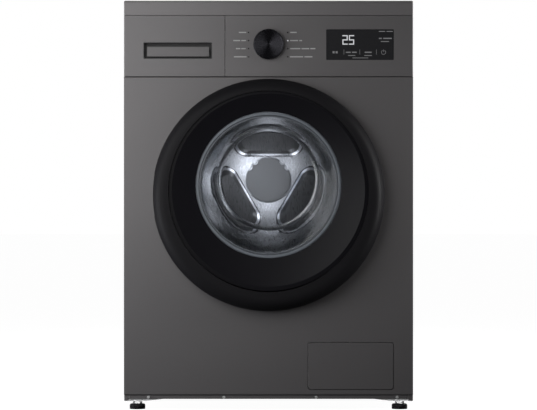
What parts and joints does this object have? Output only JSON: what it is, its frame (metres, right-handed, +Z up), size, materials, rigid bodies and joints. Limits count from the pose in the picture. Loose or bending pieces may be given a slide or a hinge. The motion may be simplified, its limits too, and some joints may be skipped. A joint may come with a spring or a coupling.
{
  "type": "front load washing machine",
  "caption": "Front-loading washing machine: sheet-metal cabinet, hinged round glass door, steel drum in a hung tub, dispenser drawer, dial and display panel, drain hatch and levelling feet.",
  "frame": {"origin": "on the floor, below the middle of the overall bounding box", "axes": "+Z up, the front with the door faces -Y, +X to the right seen from the front"},
  "size_m": [0.6, 0.533, 0.85],
  "materials": {
    "panel_paint": "satin dark grey paint",
    "console_plastic": "satin painted plastic",
    "black_plastic": "gloss",
    "black_satin": "satin",
    "dark_window": "dark gloss",
    "dial_metal": "turned, dark",
    "galvanised": "galvanised",
    "drum_steel": "polished stainless",
    "steel": "bright zinc",
    "glass": "clear",
    "rubber": "matt grey rubber",
    "tub_plastic": "moulded",
    "white_plastic": "moulded",
    "lifter_plastic": "moulded",
    "weight_iron": "cast",
    "cast_aluminium": "cast",
    "winding": "wound wire on a core",
    "foot_plastic": "black"
  },
  "bodies": {
    "cabinet": {"left_side_panel": "panel_paint", "right_side_panel": "panel_paint", "front_panel": "panel_paint", "rear_panel": "galvanised", "rear_service_cover": "galvanised", "base_pan": "galvanised", "top_cover": "console_plastic", "top_rails": "galvanised", "control_panel": "console_plastic", "display_window": "dark_window", "main_board_case": "white_plastic", "dispenser_housing": "white_plastic", "inlet_valve": "white_plastic", "inlet_hose": "rubber", "hinge_bracket": "cast_aluminium", "hinge_pin": "steel", "door_lock": "black_satin", "drain_pump": "tub_plastic", "hatch_frame": "black_satin", "drain_hose": "rubber", "cord_gland": "black_satin", "transit_caps": "black_satin", "cabinet_screws": "steel", "foot_lock_nuts": "steel", "gasket_clamp": "steel", "damper_cylinders": "steel", "door_gasket": "rubber", "suspension_springs": "steel", "tub_hoses": "rubber"},
    "tub": {"tub_front": "tub_plastic", "tub_rear": "tub_plastic", "counterweights": "weight_iron", "drum_bearings": "steel", "stator": "winding", "heater": "steel", "damper_rods": "steel"},
    "drum": {"drum_wrapper": "drum_steel", "drum_front": "drum_steel", "drum_back": "drum_steel", "drum_lifters": "lifter_plastic", "drum_spider": "cast_aluminium", "drum_shaft": "drum_steel", "rotor": "drum_steel"},
    "door": {"door_frame": "black_satin", "door_dish": "black_plastic", "door_glass": "glass", "door_back_frame": "black_satin", "hinge_leaf": "cast_aluminium"},
    "hook": {"door_hook": "steel"},
    "drawer": {"drawer_front": "console_plastic", "drawer_cup": "black_satin", "drawer_grip": "console_plastic", "drawer_tray": "white_plastic"},
    "dial": {"dial_knob": "dial_metal"},
    "hatch": {"drain_hatch": "console_plastic"},
    "filter": {"pump_filter": "black_satin"},
    "foot_front_left": {"front_left_foot": "foot_plastic"},
    "foot_front_right": {"front_right_foot": "foot_plastic"},
    "foot_rear_left": {"rear_left_foot": "foot_plastic"},
    "foot_rear_right": {"rear_right_foot": "foot_plastic"}
  },
  "joints": [
    {"name": "tub_bounce", "type": "slide", "parent": "cabinet", "child": "tub", "axis": [0, 0, 1], "range_m": [-0.008, 0.008], "stiffness_N_per_m": 24000, "springref_m": 0.0121, "deforming": ["door_gasket", "suspension_springs", "tub_hoses"]},
    {"name": "drum_spin", "type": "hinge", "parent": "tub", "child": "drum", "pos_m": [0, 0, 0.481], "axis": [0, 1, 0], "continuous": true},
    {"name": "door_hinge", "type": "hinge", "parent": "cabinet", "child": "door", "pos_m": [-0.222, -0.2445, 0.4464], "axis": [0, 0, -1], "range_deg": [0, 125]},
    {"name": "hook_pivot", "type": "hinge", "parent": "door", "child": "hook", "pos_m": [0.186, -0.2325, 0.467], "axis": [0, 0, 1], "range_deg": [0, 6], "stiffness_Nm_per_rad": 0.6, "springref_deg": -2.86},
    {"name": "drawer_slide", "type": "slide", "parent": "cabinet", "child": "drawer", "axis": [0, -1, 0], "range_m": [0, 0.21]},
    {"name": "dial_turn", "type": "hinge", "parent": "cabinet", "child": "dial", "pos_m": [0, -0.2265, 0.7588], "axis": [0, -1, 0], "continuous": true},
    {"name": "hatch_hinge", "type": "hinge", "parent": "cabinet", "child": "hatch", "pos_m": [0.1706, -0.2165, 0.0496], "axis": [1, 0, 0], "range_deg": [0, 90]},
    {"name": "filter_turn", "type": "hinge", "parent": "cabinet", "child": "filter", "pos_m": [0.165, -0.1905, 0.079], "axis": [0, -1, 0], "range_deg": [-180, 0]},
    {"name": "front_left_foot_screw", "type": "slide", "parent": "cabinet", "child": "foot_front_left", "axis": [0, 0, 1], "range_m": [-0.015, 0]},
    {"name": "front_right_foot_screw", "type": "slide", "parent": "cabinet", "child": "foot_front_right", "axis": [0, 0, 1], "range_m": [-0.015, 0]},
    {"name": "rear_left_foot_screw", "type": "slide", "parent": "cabinet", "child": "foot_rear_left", "axis": [0, 0, 1], "range_m": [-0.015, 0]},
    {"name": "rear_right_foot_screw", "type": "slide", "parent": "cabinet", "child": "foot_rear_right", "axis": [0, 0, 1], "range_m": [-0.015, 0]}
  ]
}
